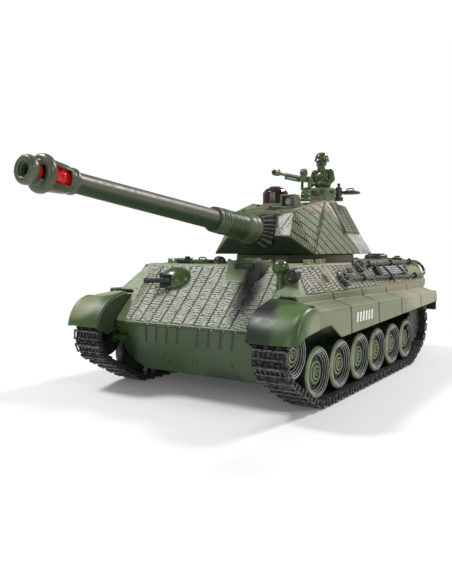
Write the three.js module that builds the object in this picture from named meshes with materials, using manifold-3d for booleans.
// A remote-controlled toy battle tank, in millimetres: +Z up, the gun points to -Y, the tank's left is +X.
// Its hull, running gear, turret, gun, roof fittings and inner works are separate solids.
// Stations along the hull (y) are counted from the first road wheel's axle, rearwards; the group
// that is exported shifts them so that the origin is under the middle of the whole tank.
import * as THREE from "three";
import { ConvexGeometry } from "three/addons/geometries/ConvexGeometry.js";
import { mergeVertices } from "three/addons/utils/BufferGeometryUtils.js";
import Module from "manifold-3d";

const wasm = await Module();
wasm.setup();

// ---- Driving dimensions ------------------------------------------------------------------------
const GAP = 0.3; // clearance between neighbouring pieces
const WALL = 2.2; // thickness of the moulded shells

const muzzleY = -157.5;
const rearmostY = 261.55;

const wheelPitch = 35;
const wheelCount = 6;
const wheelRadius = 16.7;
const wheelZ = 22;
const wheelInnerX = 70.6;
const wheelFaceX = 79.3;
const hubRadius = 4.4;
const axleRadius = 2.3;
const idler = { y: -32.2, z: 37.6, radius: 15 };
const sprocket = { y: 196.5, z: 32.5, radius: 18.4, root: 16.4, teeth: 12 };
const trackThickness = 5;
const trackInnerX = 60;
const trackOuterX = 84;

const tubHalfWidth = 58.4;
const tubFloorZ = 14.2;
const tubTopZ = 61.6;
const nose = { y: -36, z: 49 };
const deck = { frontY: 3, rearY: 256, z: 88.2, halfWidth: 61.7 };
const sponson = { frontY: -15.9, rearY: 247, z: 69.2, halfWidth: 74, floorZ: 63.5 };
const glacisSlope = (deck.z - nose.z) / (deck.frontY - nose.y);

const skirt = { frontY: -23.5, panel: 51.2, panels: 5, creaseX: 88.6, bottomX: 89.4, thickness: 1.6 };
const fender = { innerX: 59, frontZ: 46, thickness: 1.6 };

const ring = {
  y: 118.5, radius: 48.7, neckRadius: 43.5, boreRadius: 37, bottomZ: 88.5, topZ: 94.5, neckZ: 81,
};
const turretFloorZ = 94.8;
const trunnion = { y: 82, z: 109.7 };
const gunElevation = 6.34; // degrees above the horizon at rest
const cupola = { x: 20, y: 130, radius: 11.2, bore: 7.6, baseZ: 137, flangeZ: 143.2, topZ: 149 };
const hatchPost = { x: 30, y: 140, radius: 2, topZ: 151.5 };
const pedestal = { x: 20, y: 98, radius: 3.7, padZ: 136.4, topZ: 146.5 };
const machineGunZ = 154;
const dome = { x: -9, y: 101, radius: 10.4, baseZ: 132.4, topZ: 150.3 };
const fan = { y: 214, radius: 9.6, outerRadius: 14, bottomZ: 84.2, plateZ: 89.6 };
const spotlight = { x: 15, frontY: 78, width: 11, depth: 10.4, baseZ: 129.9, topZ: 140.4 };

// ---- Materials -----------------------------------------------------------------------------------
const paint = (color, roughness = 0.6, metalness = 0) =>
  new THREE.MeshStandardMaterial({ color, roughness, metalness });
const darkGreen = () => paint(0x3a5a35, 0.45);
const midGreen = () => paint(0x5a7a48, 0.5);
const sageGreen = () => paint(0x969e7d, 0.6);
const black = () => paint(0x1c1d1c, 0.6);
const trackGrey = () => paint(0x3d3d3d, 0.55, 0.2);
const steel = () => paint(0x8c8d8c, 0.35, 0.9);
const circuitGreen = () => paint(0x1f5c33, 0.5);
const amber = () => paint(0x6b3a20, 0.15);
const redLens = () => paint(0xc01515, 0.15);
const clearLens = () => paint(0xdde3e6, 0.08);

// ---- Solids ----------------------------------------------------------------------------------------
// A closed geometry as a solid whose faces point outwards.
function solid(geometry) {
  const flat = geometry.index ? geometry.toNonIndexed() : geometry;
  const bare = new THREE.BufferGeometry().setAttribute("position", flat.getAttribute("position"));
  const merged = mergeVertices(bare, 1e-4);
  const vertProperties = merged.attributes.position.array;
  const triVerts = new Uint32Array(merged.index.array);
  const made = new wasm.Manifold(new wasm.Mesh({ numProp: 3, vertProperties, triVerts }));
  if (made.volume() > 0) return made;
  for (let i = 0; i < triVerts.length; i += 3) triVerts.subarray(i, i + 3).reverse();
  return new wasm.Manifold(new wasm.Mesh({ numProp: 3, vertProperties, triVerts }));
}

const join = (...parts) => parts.reduce((whole, part) => whole.add(part));
const cut = (body, ...tools) => tools.reduce((left, tool) => left.subtract(tool), body);

function geometryOf(body) {
  const mesh = body.getMesh();
  const positions = new Float32Array(mesh.numVert * 3);
  for (let i = 0; i < mesh.numVert; i++) {
    positions.set(mesh.vertProperties.subarray(i * mesh.numProp, i * mesh.numProp + 3), i * 3);
  }
  return new THREE.BufferGeometry()
    .setAttribute("position", new THREE.BufferAttribute(positions, 3))
    .setIndex(new THREE.BufferAttribute(mesh.triVerts, 1))
    .toNonIndexed();
}

// A block between two x, two y and two z values.
function block([x0, x1], [y0, y1], [z0, z1]) {
  const box = new THREE.BoxGeometry(x1 - x0, y1 - y0, z1 - z0);
  return solid(box.translate((x0 + x1) / 2, (y0 + y1) / 2, (z0 + z1) / 2));
}

function extruded(outline, depth, basis, position) {
  const shape = new THREE.Shape(outline.map(([u, v]) => new THREE.Vector2(u, v)));
  const geometry = new THREE.ExtrudeGeometry(shape, { depth, bevelEnabled: false });
  return solid(geometry.applyMatrix4(new THREE.Matrix4().makeBasis(...basis).setPosition(...position)));
}

const X = new THREE.Vector3(1, 0, 0);
const Y = new THREE.Vector3(0, 1, 0);
const Z = new THREE.Vector3(0, 0, 1);

// Prisms of an outline in the (y, z), (x, z) or (x, y) plane.
const prismX = (outline, x0, x1) => extruded(outline, x1 - x0, [Y, Z, X], [x0, 0, 0]);
const prismY = (outline, y0, y1) => extruded(outline, y1 - y0, [X, Z, Y.clone().negate()], [0, y1, 0]);

// A body turned round an axis through a point: the profile lists [radius, distance along the axis].
function turned(profile, axis, [x, y, z], segments = 24) {
  const points = profile.map(([radius, along]) => new THREE.Vector2(radius, along));
  const lathe = new THREE.LatheGeometry(points, segments);
  lathe.applyQuaternion(new THREE.Quaternion().setFromUnitVectors(Y, axis));
  return solid(lathe.translate(x, y, z));
}

const rod = (radius, from, to, axis, centre, segments = 16) =>
  turned([[0, from], [radius, from], [radius, to], [0, to]], axis, centre, segments);
const tube = (outer, inner, from, to, axis, centre, segments = 24) =>
  turned([[inner, from], [outer, from], [outer, to], [inner, to], [inner, from]], axis, centre, segments);

const hullOf = (points) => solid(new ConvexGeometry(points.map((p) => new THREE.Vector3(...p))));
const bothSides = (points) => points.flatMap(([x, y, z]) => [[x, y, z], [-x, y, z]]);

// A pipe of round section along a smooth curve through the given points.
function pipe(points, radius, steps, sides = 8) {
  const curve = new THREE.CatmullRomCurve3(points.map((p) => new THREE.Vector3(...p)));
  const circle = new THREE.Shape();
  circle.absarc(0, 0, radius, 0, Math.PI * 2);
  const options = { steps, extrudePath: curve, bevelEnabled: false, curveSegments: sides / 2 };
  return solid(new THREE.ExtrudeGeometry(circle, options));
}

// A thin sheet: a grid of outer points and the same grid of inner points, closed round its rim.
function sheet(outer, inner) {
  const rows = outer.length;
  const columns = outer[0].length;
  const positions = [];
  const triangle = (a, b, c) => positions.push(...a, ...b, ...c);
  const quad = (a, b, c, d) => {
    triangle(a, b, c);
    triangle(a, c, d);
  };
  for (let i = 0; i + 1 < rows; i++) {
    for (let j = 0; j + 1 < columns; j++) {
      quad(outer[i][j], outer[i + 1][j], outer[i + 1][j + 1], outer[i][j + 1]);
      quad(inner[i][j], inner[i][j + 1], inner[i + 1][j + 1], inner[i + 1][j]);
    }
    quad(outer[i][0], inner[i][0], inner[i + 1][0], outer[i + 1][0]);
    quad(outer[i][columns - 1], outer[i + 1][columns - 1], inner[i + 1][columns - 1], inner[i][columns - 1]);
  }
  for (let j = 0; j + 1 < columns; j++) {
    quad(outer[0][j], outer[0][j + 1], inner[0][j + 1], inner[0][j]);
    quad(outer[rows - 1][j], inner[rows - 1][j], inner[rows - 1][j + 1], outer[rows - 1][j + 1]);
  }
  const geometry = new THREE.BufferGeometry();
  geometry.setAttribute("position", new THREE.Float32BufferAttribute(positions, 3));
  return solid(geometry);
}

// ---- The tank's group -------------------------------------------------------------------------------
const tank = new THREE.Group();
tank.position.y = -(muzzleY + rearmostY) / 2;

function add(name, body, material, parent = tank) {
  const mesh = new THREE.Mesh(geometryOf(body), material);
  mesh.name = name;
  parent.add(mesh);
}

// Adds a piece to both sides of the tank: the left one as made, the right one mirrored.
function addPair(name, body, material) {
  add(name + "_left", body, material());
  add(name + "_right", body.mirror([1, 0, 0]), material());
}

// ---- Lower hull -------------------------------------------------------------------------------------
const wheelStations = Array.from({ length: wheelCount }, (_, i) => ({ y: i * wheelPitch, z: wheelZ }));
const cover = { halfWidth: 30, frontY: 70, rearY: 150 };

function lowerHull() {
  const side = (inset) => [
    [nose.y + inset, nose.z - GAP],
    [nose.y + 18.5 + inset * 0.4, tubFloorZ + inset],
    [190 - inset * 0.3, tubFloorZ + inset],
    [219 - inset, 38],
    [242.5 - inset, tubTopZ],
    [-12 - inset, tubTopZ],
    [-12 - inset, nose.z - GAP],
  ];
  const outer = prismX(side(0), -tubHalfWidth, tubHalfWidth);
  const corners = [1, -1].map((way) =>
    prismY([[way * 60, 10], [way * 60, 26], [way * 57.6, 26], [way * 50, 16], [way * 42, 10]], -40, 230));
  const cavity = prismX(
    [[-24, nose.z + 20], [-31, nose.z - 3], [-15.5, tubFloorZ + WALL], [188, tubFloorZ + WALL],
      [216, 38], [239, tubTopZ + 5]],
    -tubHalfWidth + WALL, tubHalfWidth - WALL);
  const keel = corners.map((corner) => corner.translate(0, 0, WALL));
  const hollow = cut(cavity, ...keel);
  const stubs = [...wheelStations, idler].flatMap(({ y, z }) => [
    rod(axleRadius, 51, 74, X, [0, y, z], 8),
    rod(axleRadius, -74, -51, X, [0, y, z], 8),
  ]);
  const shaftHoles = rod(3.2, -80, 80, X, [0, sprocket.y, sprocket.z], 10);
  const coverHole = block(
    [-cover.halfWidth - GAP, cover.halfWidth + GAP],
    [cover.frontY - GAP, cover.rearY + GAP], [10, tubFloorZ + WALL + 1]);
  const switchSlot = block([-4, 4], [160, 174], [10, tubFloorZ + WALL + 1]);
  return join(cut(outer, ...corners, hollow, shaftHoles, coverHole, switchSlot), ...stubs);
}

// ---- Upper hull -------------------------------------------------------------------------------------
function upperHull() {
  const middle = (inset) => [
    [nose.y + inset * 2.4, nose.z - inset * 0.2],
    [deck.frontY + inset * 0.9, deck.z - inset],
    [deck.rearY - inset, deck.z - inset],
    [243.5 - inset, tubTopZ + GAP - inset],
    [-12 - GAP + inset * 2, tubTopZ + GAP - inset],
    [-12 - GAP + inset * 2, nose.z - inset * 0.2],
  ];
  const casemate = (inset) => hullOf(bothSides([
    [sponson.halfWidth - inset, sponson.frontY + inset * 2, sponson.z - inset],
    [deck.halfWidth - inset, deck.frontY + inset, deck.z - inset],
    [deck.halfWidth - inset, deck.rearY - inset, deck.z - inset],
    [sponson.halfWidth - inset, sponson.rearY - inset, sponson.z - inset],
  ]));
  const halfWidth = sponson.halfWidth;
  const shelf = block([-halfWidth, halfWidth], [sponson.frontY + 0.5, sponson.rearY - 3],
    [sponson.floorZ, sponson.z]);
  const outer = join(prismX(middle(0), -tubHalfWidth, tubHalfWidth), casemate(0), shelf);
  const inner = join(
    prismX(middle(WALL), WALL - tubHalfWidth, tubHalfWidth - WALL),
    casemate(WALL),
    block([WALL - tubHalfWidth, tubHalfWidth - WALL], [-8, 240], [50, 72]));
  const ringHole = rod(ring.neckRadius + 0.5, 70, 100, Z, [0, ring.y, 0], 40);
  const fanHole = rod(fan.outerRadius + GAP * 2, 80, 100, Z, [0, fan.y, 0], 24);
  return cut(outer, inner, ringHole, fanHole);
}

// ---- Front fenders and side skirts --------------------------------------------------------------------
const lerp = (a, b, t) => a + (b - a) * t;
const creaseZ = (y) => 62.5 - 0.0125 * (y - skirt.frontY);
const skirtBottomZ = (y) => 44.2 + 0.0335 * (y - skirt.frontY - skirt.panel);

// The fender's side profile, from its front lip up and back over the idler.
const fenderTop = [
  [-53.3, 46], [-51.6, 51], [-49, 55.3], [-44.6, 59.9], [-38.5, 63.6], [-30, 66.4], [-23.5, 67.6],
];
const fenderCrease = [
  [-53.3, 46], [-52, 50], [-49.6, 54], [-46, 58], [-41.5, 61.2], [-34, 63.2], [-23.5, 62.5],
];

function frontFender() {
  const t = fender.thickness;
  const row = (i, inset) => {
    const [ty, tz] = fenderTop[i];
    const [cy, cz] = fenderCrease[i];
    const back = i / (fenderTop.length - 1);
    const lowerZ = lerp(fender.frontZ, 52.2, back);
    const inY = inset * (1 - back);
    const inZ = inset * Math.min(1, back * 1.6);
    return [
      [fender.innerX, ty + inY, tz - inZ],
      [68, ty + inY, tz - inZ],
      [76.5, lerp(ty, cy, 0.15) + inY, lerp(tz, cz, 0.22) - inZ],
      [85 - inset * 0.4, lerp(ty, cy, 0.7) + inY + (1 - back) * 0.8, lerp(tz, cz, 0.75) - inZ],
      [skirt.creaseX - inset, cy + inY + (1 - back) * 3, cz - inZ],
      [skirt.bottomX - inset, cy + inY + (1 - back) * 3.4, Math.min(cz - 1.2 - inZ, lowerZ)],
    ];
  };
  const last = fenderTop.length - 1;
  const rows = (inset) => Array.from({ length: last + 1 }, (_, i) => {
    const points = row(i, inset);
    if (i === last) points.forEach((p) => (p[1] = skirt.frontY - GAP));
    return points;
  });
  return sheet(rows(0), rows(t));
}

function sideSkirt() {
  const t = skirt.thickness;
  const rearY = skirt.frontY + skirt.panel * skirt.panels;
  const stations = [skirt.frontY, -3.5, 12, 27.7, 78.9, 130.1, 181.3, rearY];
  const bottom = [52.2, 52.6, 43.7, ...stations.slice(3).map(skirtBottomZ)];
  const row = (y, bottomZ, inset) => [
    [74.6 + (inset ? 0.2 : 1.2), y, 70.6 - 0.012 * y],
    [76.8 - inset, y, creaseZ(y) + 3.7 - inset * 0.6],
    [skirt.creaseX - inset, y, creaseZ(y) - inset * 0.6],
    [skirt.bottomX - inset, y, bottomZ],
  ];
  const rows = (inset) => stations.map((y, i) => row(y, bottom[i], inset));
  const panel = sheet(rows(0), rows(t));
  const flap = prismX([[rearY - 2, 59], [rearY - 1, 59.6], [rearY + 2.4, 43.5], [rearY + 1, 43]], 76, 87.6);
  return join(panel, flap);
}

// ---- Tracks ------------------------------------------------------------------------------------------
// The convex outline of a belt that wraps round circles, each let out by the given distance.
function beltOutline(circles, distance) {
  const points = circles.flatMap(({ y, z, radius }) =>
    Array.from({ length: 36 }, (_, i) => {
      const angle = (i / 36) * Math.PI * 2;
      return [y + (radius + distance) * Math.cos(angle), z + (radius + distance) * Math.sin(angle)];
    }));
  points.sort((a, b) => a[0] - b[0] || a[1] - b[1]);
  const turn = (o, a, b) => (a[0] - o[0]) * (b[1] - o[1]) - (a[1] - o[1]) * (b[0] - o[0]);
  const half = (list) => {
    const chain = [];
    for (const p of list) {
      while (chain.length > 1 && turn(chain.at(-2), chain.at(-1), p) <= 1e-6) chain.pop();
      chain.push(p);
    }
    return chain.slice(0, -1);
  };
  return [...half(points), ...half([...points].reverse())];
}

function track() {
  const endWheels = [0, wheelCount - 1].map((i) => ({ ...wheelStations[i], radius: wheelRadius }));
  const circles = [idler, ...endWheels, sprocket];
  const outer = prismX(beltOutline(circles, GAP + trackThickness), trackInnerX, trackOuterX);
  return cut(outer, prismX(beltOutline(circles, GAP), trackInnerX - 1, trackOuterX + 1));
}

// ---- Wheels -------------------------------------------------------------------------------------------
function roadWheel(radius) {
  const bore = axleRadius + GAP;
  return turned([
    [bore, 61], [hubRadius, 61], [hubRadius, wheelInnerX], [radius, wheelInnerX], [radius, wheelFaceX],
    [radius - 2.6, wheelFaceX], [radius - 5.2, wheelFaceX - 3.6],
    [7, wheelFaceX - 3.6], [5.6, wheelFaceX - 1.4],
    [0, wheelFaceX - 1.4], [0, 74.4], [bore, 74.4], [bore, 61],
  ], X, [0, 0, 0], 18);
}

function addRoadWheels() {
  const stations = [{ name: "idler_wheel", ...idler }].concat(
    wheelStations.map((station, i) => ({ name: "road_wheel_" + (i + 1), radius: wheelRadius, ...station })));
  for (const { name, radius, y, z } of stations) {
    const left = roadWheel(radius).translate(0, y, z);
    addPair(name, left, sageGreen);
  }
}

// The drive sprocket with its short shaft, which reaches through the tub's wall into the gearbox.
function driveSprocket() {
  const { y, z, radius, root, teeth } = sprocket;
  const outline = Array.from({ length: teeth * 4 }, (_, i) => {
    const angle = ((i + 0.5) / (teeth * 4)) * Math.PI * 2;
    const r = i % 4 < 2 ? radius : root;
    return [y + r * Math.cos(angle), z + r * Math.sin(angle)];
  });
  const body = turned([[0, 61], [root - 1, 61], [root - 1, 69.6], [root - 3, 69.6], [root - 5, 68.4],
    [5, 68.4], [4.4, 69.9], [0, 69.9]], X, [0, y, z], 18);
  const shaft = rod(2.6, 47, 62, X, [0, y, z], 10);
  return join(prismX(outline, 64, 66.4), body, shaft);
}

// ---- Inner works ----------------------------------------------------------------------------------------
function gearbox() {
  const { y, z } = sprocket;
  const housing = block([27, 51], [y - 40, y + 11], [20, 47]);
  const motor = rod(9, 2, 27.5, X, [0, y - 24, 36], 16);
  const socket = rod(2.9, 46.5, 60, X, [0, y, z], 10);
  const room = prismX([[100, 18], [185, 18], [213, 39], [230, 60], [100, 60]], 0, 56);
  return cut(join(housing, motor).intersect(room), socket);
}

function batteryPack() {
  const cells = [-17.5, 0, 17.5].map((x) => rod(8.6, 84, 138, Y, [x, 0, 27.6], 20));
  const wrap = block([-17.5, 17.5], [84, 138], [19.4, 35.8]);
  return join(wrap, ...cells);
}

function circuitBoard() {
  const board = block([-32, 32], [8, 60], [24, 25.6]);
  const chips = [[-20, 20, 14, 12], [6, 22, 20, 10], [-8, 46, 18, 12]].map(([x, y, w, l]) =>
    block([x, x + w], [y, y + l], [25.4, 29]));
  const posts = [-28, 28].map((x) => rod(2.4, tubFloorZ + WALL + GAP, 24.4, Z, [x, 34, 0], 10));
  return join(board, ...chips, ...posts);
}

function turretMotor() {
  const housing = block([-14, 14], [47, 70], [62, 79]);
  const spindle = rod(4, 78, 84, Z, [0, 64, 0]);
  return join(housing, spindle);
}

function batteryCover() {
  const plate = block(
    [-cover.halfWidth, cover.halfWidth], [cover.frontY, cover.rearY], [tubFloorZ, tubFloorZ + WALL]);
  const grips = [-1, 0, 1].map((i) =>
    block([-12, 12], [cover.rearY - 12 + i * 3, cover.rearY - 11 + i * 3], [13.4, 14.6]));
  return join(plate, ...grips);
}

function powerSwitch() {
  return join(
    block([-2, 2], [162, 166], [12.8, 19.4]),
    block([-6, 6], [158, 171], [tubFloorZ + WALL + GAP, 18.4]));
}

// ---- Hull fittings ----------------------------------------------------------------------------------------
const glacisPoint = (z) => deck.frontY - (deck.z - z) / glacisSlope;
const lamp = { x: 56.3, y: -8.6, z: 87.2 };

// Everything behind the plane of the glacis, let forward by the given distance.
const behindGlacis = (distance) => prismX([
  [glacisPoint(40) - distance * 1.45, 40], [glacisPoint(120) - distance * 1.45, 120], [90, 120], [90, 40],
], -80, 80);

function driverHood() {
  const front = hullOf([
    [13, glacisPoint(77) - 0.4, 77.2], [41, glacisPoint(77) - 0.4, 77.2],
    [15, -5.6, 88.4], [39, -5.6, 88.4], [15, -4, 91.4], [39, -4, 91.4],
    [14, 8, 91.4], [40, 8, 91.4], [14, 8, 88.6], [40, 8, 88.6],
  ]);
  return cut(front, behindGlacis(GAP).trimByPlane([0, 0, -1], -deck.z - GAP));
}

function driverHatch() {
  const lid = rod(7.6, 88.5, 90.4, Z, [23, 18.5, 0], 24);
  const handle = block([20, 26], [17.6, 19.4], [90.2, 91.8]);
  return join(lid, handle);
}

function radioHatch() {
  const lid = rod(7.6, 88.5, 90.4, Z, [-23, 18.5, 0], 24);
  const hinge = rod(1.6, -39, -27, X, [0, 9, 90.2], 12);
  const foot = block([-38, -26], [8.2, 18], [88.5, 89.8]);
  return join(lid, hinge, foot);
}

// The ball mount's armoured dome on the glacis, with the opening that its gun swings in.
function ballMount() {
  const centre = [-27, glacisPoint(77), 77];
  const bump = new THREE.SphereGeometry(1, 24, 14)
    .scale(12.2, 9.6, 9.6).rotateX(-Math.PI / 4).translate(...centre);
  const mouth = block([-44, -24.2], [-40, -9.2], [73.4, 80.4]);
  return cut(solid(bump), behindGlacis(GAP), mouth);
}

function hullMachineGun() {
  const barrel = rod(1.5, -3, 16, X, [0, 0, 0], 12);
  const jacket = rod(2.1, -3, 5, X, [0, 0, 0], 12);
  return join(barrel, jacket).rotate(0, 0, 205).translate(-29, -16.2, 76.8);
}

function headlight() {
  const { x, y, z } = lamp;
  const stem = turned(
    [[0, -14], [2.6, -14], [2.4, -8.4], [1.9, -7], [3.2, -3.4], [0, -3.4]], Z, [x, y, z], 12);
  const ball = solid(new THREE.SphereGeometry(4.9, 14, 10).translate(x, y, z));
  return cut(join(stem, ball), behindGlacis(GAP));
}

// The horn is a short drum on a bracket at the left edge of the glacis.
function horn() {
  const drum = rod(4.5, lamp.y - 3.4, lamp.y + 1.2, Y, [65.8, 0, 82.5], 18);
  const bracket = rod(1.7, lamp.y, lamp.y + 8, Y, [65.8, 0, 83.6], 10);
  return cut(join(drum, bracket), behindGlacis(GAP));
}

const sideSlope = (deck.z - sponson.z) / (sponson.halfWidth - deck.halfWidth);
const sideX = (z, standOff = 0) => deck.halfWidth + (deck.z - z) / sideSlope + standOff;

// A steel tow cable that is clipped along the side plate: two eyes in front and one bend at the rear.
function towCable() {
  const radius = 1.5;
  const off = radius + 0.9;
  const route = [
    [sideX(85.3, off), 101, 85.3], [sideX(85.6, off), 140, 85.6], [sideX(85.9, off), 190, 85.9],
    [sideX(85.8, off), 236, 85.8], [sideX(84, off), 249, 83.6], [sideX(79.5, off), 253, 79.2],
    [sideX(75, off), 247, 74.8], [sideX(73.6, off), 232, 73.4], [sideX(74, off), 190, 74],
    [sideX(75.4, off), 120, 75.4], [sideX(77, off), 61, 77],
  ];
  const eyes = [route[0], route.at(-1)].map(([x, y, z]) => {
    const eye = tube(4.2, 2.1, -1.1, 1.1, Z, [0, 0, 0], 12).rotate(0, 57, 0);
    return eye.translate(x + 0.5, y - 3.8, z);
  });
  return join(pipe(route, radius, 36, 6), ...eyes);
}

// Cleaning rods in their rack: a box at the front, three rods, and two straps that hold them.
function rodRack() {
  const off = 0.5;
  const slab = (y0, y1, z0, z1, thick) => hullOf([y0, y1].flatMap((y) => [z0, z1].flatMap((z) => [
    [sideX(z, off), y, z], [sideX(z, off + thick), y, z],
  ])));
  const rods = [81.9, 79.8, 77.7].map((z) => rod(0.85, 133, 200, Y, [sideX(z, off + 0.9), 0, z], 6));
  const straps = [150, 186].map((y) => slab(y, y + 2.2, 77, 83.2, 2.4));
  return join(slab(126, 134, 77, 83, 3), ...rods, ...straps, slab(198, 203, 77, 83, 2));
}

// The engine deck: a cover plate with two round intake domes, and the cooling fan's grille between them.
function engineDeck() {
  const { y, bottomZ, plateZ } = fan;
  const plate = block([-50, 50], [y - 16, y + 16], [deck.z + GAP, plateZ]);
  const domes = [1, -1].map((way) =>
    turned([[0, deck.z + GAP], [11, deck.z + GAP], [11, 92.6], [9.4, 94], [0, 94.5]],
      Z, [way * 36.5, y, 0], 20));
  const collar = rod(fan.outerRadius, bottomZ, plateZ, Z, [0, y, 0], 24);
  const throat = rod(fan.radius, bottomZ - 1, plateZ + 1, Z, [0, y, 0], 24);
  const hub = rod(3, bottomZ + 1.8, plateZ - 0.4, Z, [0, y, 0], 8);
  const blades = [0, 60, 120].map((angle) =>
    block([-10.5, 10.5], [-1.4, 1.4], [bottomZ + 2, bottomZ + 3.8]).rotate(0, 0, angle).translate(0, y, 0));
  return join(cut(join(plate, collar, ...domes), throat), hub, ...blades);
}

// An exhaust pipe: an armoured collar on the rear plate and a pipe that bends up and back.
function exhaust() {
  const route = [[22, 247.4, 62], [22, 252.4, 63.5], [22, 255.4, 68], [22, 256.6, 74], [22, 258.4, 79]];
  return join(pipe(route, 3.2, 16, 10), rod(5, 246.8, 250.6, Y, [22, 0, 62], 16))
    .intersect(block([10, 34], [240, 270], [40, 84]));
}

// ---- Turret -------------------------------------------------------------------------------------
const turretCorners = (inset) => bothSides([
  [25.8 - inset, 67.4 + inset, 127.5 - inset],
  [27.5 - inset, 58.5 + inset, 107.5],
  [44.2 - inset, 64.9 + inset * 1.4, turretFloorZ],
  [52 - inset * 1.1, 135, turretFloorZ],
  [42.5 - inset, 185 - inset, turretFloorZ],
  [33 - inset, 104.6, 136.3 - inset],
  [23.5 - inset, 168 - inset, 134 - inset],
]);
// The rear part of the left cheek is a flat plate: its x at a station and a height.
const rearCheekX = (y, z) => 33 - 0.173 * (y - 104.6) - 0.576 * (z - 135.4);

// The turret's outer form, let out by the clearance that its roof fittings keep.
const grownTurret = () => hullOf(turretCorners(-GAP));

const turret = new THREE.Group();

const spareLinks = [{ from: 118, to: 146 }, { from: 149.5, to: 169 }];

function turretShell() {
  const outer = hullOf(turretCorners(0));
  const floorOpening = rod(ring.neckRadius - 1, turretFloorZ - 1, turretFloorZ + 3.2, Z, [0, ring.y, 0], 32);
  const lowest = turretFloorZ + WALL;
  const inner = hullOf(turretCorners(WALL)).trimByPlane([0, 0, 1], lowest);
  const gunPort = block([-13.6, 13.6], [50, 75], [98.6, 126]);
  const well = rod(cupola.bore + 1.2, 130, 150, Z, [cupola.x, cupola.y, 0]);
  const links = spareLinks.map(({ from, to }) => hullOf([from, to].flatMap((y) =>
    [112, 135.9].flatMap((z) => [
    [rearCheekX(y, z) - 0.8, y, z], [rearCheekX(y, z) + 2.6, y, z + 1.2],
  ]))));
  const both = links.flatMap((link) => [link, link.mirror([1, 0, 0])]).map((link) => link.subtract(inner));
  const pad = rod(pedestal.radius + 1, 130, pedestal.padZ, Z, [pedestal.x, pedestal.y, 0]).subtract(inner);
  return cut(join(outer.subtract(inner), pad, ...both), floorOpening, gunPort, well);
}

function turretRing() {
  const { y, radius, neckRadius, boreRadius, bottomZ, topZ, neckZ } = ring;
  return turned([[boreRadius, neckZ], [neckRadius, neckZ], [neckRadius, bottomZ], [radius, bottomZ],
    [radius, topZ], [boreRadius, topZ], [boreRadius, neckZ]], Z, [0, y, 0], 40);
}

function cupolaRing() {
  const { x, y, radius, bore, baseZ, flangeZ, topZ } = cupola;
  const drum = turned([
    [bore, baseZ + 1], [radius - 0.6, baseZ + 1], [radius - 1.4, flangeZ], [radius, flangeZ + 0.6],
    [radius, topZ], [bore, topZ], [bore, baseZ + 1]], Z, [x, y, 0], 28);
  const ear = block(
    [hatchPost.x - 3.2, hatchPost.x + 3.2], [hatchPost.y - 6, hatchPost.y + 3.2], [138.8, 142.6]);
  const well = rod(bore, 120, 160, Z, [x, y, 0], 28);
  return cut(join(drum, ear), well);
}

function cupolaHatch() {
  const { x, y, radius, topZ } = hatchPost;
  const post = turned([
    [0, 143], [3, 143], [3, 146], [radius, 147], [radius, 150.4], [1.1, topZ], [1.3, 153.4],
    [0, 153.8]], Z, [x, y, 0], 16);
  const lid = turned(
    [[0, 145.2], [8.2, 145.4], [8.6, 146.2], [6, 147.6], [0, 148.4]], Z, [x + 6.5, y + 9, 0], 18);
  return join(post, lid);
}

// The commander: legs in the cupola's well, a torso with both arms folded in front, a helmeted head.
function commander() {
  const { x, y } = cupola;
  const at = (dx, dy, z) => [x + dx, y + dy, z];
  const ball = (rx, ry, rz, centre) =>
    solid(new THREE.SphereGeometry(1, 10, 7).scale(rx, ry, rz).translate(...centre));
  const legs = turned([[0, 138.5], [5.6, 138.5], [6, 150], [0, 150]], Z, at(0, 0, 0), 16);
  const torso = ball(7, 4.8, 9, at(-0.5, 0, 156));
  const shoulders = ball(8.6, 4.4, 3.6, at(-0.5, 0.4, 162));
  const arms = [1, -1].flatMap((way) => [
    pipe([at(way * 7.6 - 0.5, 0.4, 162.4), at(way * 9 - 0.5, -1, 157), at(way * 7 - 0.5, -5.4, 152.6),
      at(way * 3.4 - 0.5, -8.6, 154)], 2.3, 5, 6),
  ]);
  const neck = rod(2.4, 162, 169, Z, at(-1, 0, 0), 12);
  const head = ball(4.2, 4.7, 5.4, at(-1.2, -0.4, 169.6));
  const helmet = ball(6, 6.4, 5, at(-1.2, 0.2, 174)).trimByPlane([0, 0, 1], 171.6);
  return join(legs, torso, shoulders, ...arms, neck, head, helmet);
}

function machineGunMount() {
  const { x, y, radius, padZ, topZ } = pedestal;
  const post = turned([[0, padZ + GAP], [radius, padZ + GAP], [radius, topZ - 3], [radius - 1.2, topZ - 2],
    [radius - 1.2, topZ], [0, topZ]], Z, [x, y, 0], 14);
  const yoke = [1, -1].map((way) =>
    block(
      way > 0 ? [x + 2.4, x + 3.5] : [x - 3.5, x - 2.4],
      [y - 1.6, y + 1.6], [topZ - 1.4, machineGunZ + 1.4]));
  const cross = block([x - 3.5, x + 3.5], [y - 1.6, y + 1.6], [topZ - 1.2, topZ + 1.2]);
  return join(post, cross, ...yoke);
}

function machineGun() {
  const { x, y } = pedestal;
  const receiver = block([x - 1.9, x + 1.9], [y - 12, y + 8], [machineGunZ - 2.2, machineGunZ + 2]);
  const barrel = turned([[0, 12], [1.1, 12], [1, 43], [1.9, 45], [2.1, 51.6], [0, 51.6]], Y.clone().negate(),
    [x, y, machineGunZ], 10);
  const gasTube = rod(0.9, 11, 34, Y.clone().negate(), [x, y, machineGunZ - 2.6], 8);
  const bridge = block([x - 0.6, x + 0.6], [y - 33, y - 30], [machineGunZ - 3, machineGunZ]);
  const sight = block([x - 0.5, x + 0.5], [y - 43.6, y - 42.4], [machineGunZ, machineGunZ + 3.4]);
  const drum = rod(3.2, -1.8, 3.8, X, [x - 1, y - 3, machineGunZ + 4.4], 16);
  const pins = rod(1, -2.2, 2.2, X, [x, y, machineGunZ], 8);
  return join(receiver, barrel, gasTube, bridge, sight, drum, pins);
}

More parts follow.
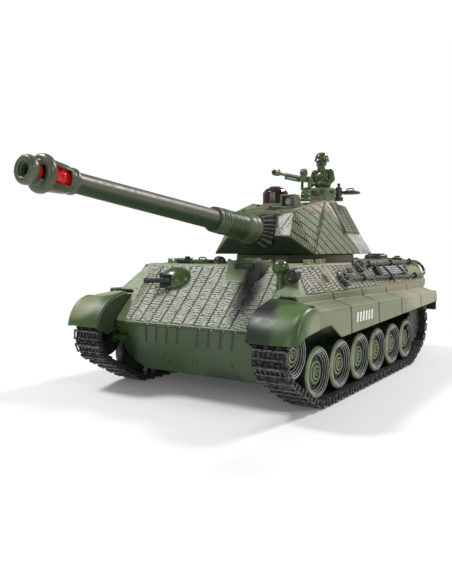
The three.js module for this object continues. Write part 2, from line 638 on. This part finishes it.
function spotlightHousing() {
  const { x, frontY, width, depth, baseZ, topZ } = spotlight;
  const half = width / 2;
  const outer = prismX([[frontY, baseZ + 1], [frontY, topZ], [frontY + depth * 0.7, topZ],
    [frontY + depth, topZ - 3], [frontY + depth, baseZ + 4.2], [frontY + 2.6, baseZ + 1.2],
  ], x - half, x + half);
  const recess = block([x - half + 1.3, x + half - 1.3], [frontY - 1, frontY + 5], [baseZ + 2.6, topZ - 1.3]);
  return cut(outer, recess, grownTurret());
}

function spotlightLens() {
  const { x, frontY, width, baseZ, topZ } = spotlight;
  const radius = width / 2 - 1.9;
  return turned([[0, 0.8], [radius * 0.6, 1.2], [radius, 2.4], [radius, 4.2], [0, 4.2]], Y,
    [x, frontY, (baseZ + 1.3 + topZ) / 2], 12)
    .intersect(block([x - 20, x + 20], [60, 100], [baseZ + 2.9, topZ - 1.6]));
}

function receiverDome() {
  const { x, y, radius, baseZ, topZ } = dome;
  const body = turned([[0, baseZ], [radius, baseZ], [radius, topZ - 5.2], [radius * 0.78, topZ - 2.8],
    [radius * 0.42, topZ - 0.8], [0, topZ]], Z, [x, y, 0], 12);
  return cut(body, grownTurret());
}

// ---- Gun, modelled level along -Y from its trunnion ----------------------------------------------
const gun = new THREE.Group();
gun.position.set(0, trunnion.y, trunnion.z);
gun.rotation.x = THREE.MathUtils.degToRad(-gunElevation);
const forward = Y.clone().negate();
const sleeveRear = 34;
const sleeveFront = 84;
const barrelFront = 210.6;
const muzzleFront = (trunnion.y - muzzleY) / Math.cos(THREE.MathUtils.degToRad(gunElevation)) - 0.9;

function mantlet() {
  const drum = rod(10.6, -11.5, 11.5, X, [0, 0, 0], 24);
  const neck = tube(8, 4.2, 6, sleeveRear - GAP, forward, [0, 0, 0], 24);
  const breech = block([-7, 7], [6, 22], [-6, 6]);
  return cut(join(drum, neck, breech), rod(4.2, 8, 60, forward, [0, 0, 0], 24));
}

function mantletShroud() {
  const outline = [
    [-11.4, -9.4], [11.4, -9.4], [12, -8], [12, 8], [11.4, 9.4], [-11.4, 9.4], [-12, 8], [-12, -8],
  ];
  return cut(prismY(outline, -sleeveRear + 1, -15), rod(8 + GAP, 0, 60, forward, [0, 0, 0], 24));
}

function gunBarrel() {
  return turned([
    [0, 14], [3.9, 14], [3.9, sleeveRear], [10.6, sleeveRear], [11, sleeveRear + 4], [9.7, sleeveRear + 11],
    [9.2, sleeveRear + 12], [8.2, sleeveFront - 9], [8.4, sleeveFront - 6], [7.6, sleeveFront - 4],
    [7.8, sleeveFront - 0.6], [7.2, sleeveFront], [6.9, sleeveFront], [5.5, barrelFront], [0, barrelFront],
  ], forward, [0, 0, 0], 20);
}

function muzzleBrake() {
  const f = muzzleFront;
  const body = turned([
    [0, barrelFront + GAP], [5.7, barrelFront + GAP], [6.4, barrelFront + 1.2], [6.4, barrelFront + 3.4],
    [6, barrelFront + 4], [7.6, f - 13.5], [9.4, f - 13], [9.9, f - 11.4], [9.4, f - 8.4], [7, f - 7.4],
    [6.2, f - 5.6], [7.3, f - 3.6], [7.3, f - 1.4], [6.2, f], [0, f],
  ], forward, [0, 0, 0], 16);
  const bore = rod(3.1, barrelFront + 1, f + 1, forward, [0, 0, 0], 10);
  const chamber = rod(4.6, barrelFront + 4.4, f - 4.6, forward, [0, 0, 0], 10);
  const windows = [[barrelFront + 6, f - 14], [f - 8.2, f - 4.8]].map(([from, to]) =>
    block([-12, 12], [-to, -from], [-2.9, 2.9]));
  return cut(body, bore, chamber, ...windows);
}

function muzzleLamp() {
  return turned([
    [0, barrelFront + 4.8], [4.2, barrelFront + 4.8], [4.2, muzzleFront - 19], [3, muzzleFront - 16.6],
    [0, muzzleFront - 16]], forward, [0, 0, 0], 10);
}

// ---- Assembly -----------------------------------------------------------------------------------
add("lower_hull", lowerHull(), darkGreen());
add("upper_hull", upperHull(), sageGreen());
addPair("front_fender", frontFender(), darkGreen);
addPair("side_skirt", sideSkirt(), sageGreen);
addPair("track", track(), trackGrey);
addRoadWheels();
addPair("sprocket", driveSprocket(), darkGreen);

addPair("gearbox", gearbox(), black);
add("battery_pack", batteryPack(), paint(0x2c4f8c, 0.4));
add("circuit_board", circuitBoard(), circuitGreen());
add("turret_motor", turretMotor(), black());
add("battery_cover", batteryCover(), darkGreen());
add("power_switch", powerSwitch(), black());

add("driver_hood", driverHood(), midGreen());
add("driver_hatch", driverHatch(), midGreen());
add("radio_hatch", radioHatch(), midGreen());
add("ball_mount", ballMount(), midGreen());
add("hull_machine_gun", hullMachineGun(), black());
add("headlight", headlight(), darkGreen());
add("horn", horn(), black());
addPair("tow_cable", towCable(), steel);
addPair("rod_rack", rodRack(), steel);
add("engine_deck", engineDeck(), black());
addPair("exhaust", exhaust(), black);

add("turret_shell", turretShell(), sageGreen(), turret);
add("turret_ring", turretRing(), sageGreen(), turret);
add("cupola", cupolaRing(), midGreen(), turret);
add("cupola_hatch", cupolaHatch(), midGreen(), turret);
add("commander", commander(), midGreen(), turret);
add("machine_gun_mount", machineGunMount(), midGreen(), turret);
add("machine_gun", machineGun(), midGreen(), turret);
add("spotlight_housing", spotlightHousing(), sageGreen(), turret);
add("spotlight_lens", spotlightLens(), clearLens(), turret);
add("receiver_dome", receiverDome(), amber(), turret);

add("mantlet", mantlet(), darkGreen(), gun);
add("mantlet_shroud", mantletShroud(), paint(0x6a6a6a, 0.9), gun);
add("gun_barrel", gunBarrel(), midGreen(), gun);
add("muzzle_brake", muzzleBrake(), midGreen(), gun);
add("muzzle_lamp", muzzleLamp(), redLens(), gun);

turret.add(gun);
tank.add(turret);

export default tank;
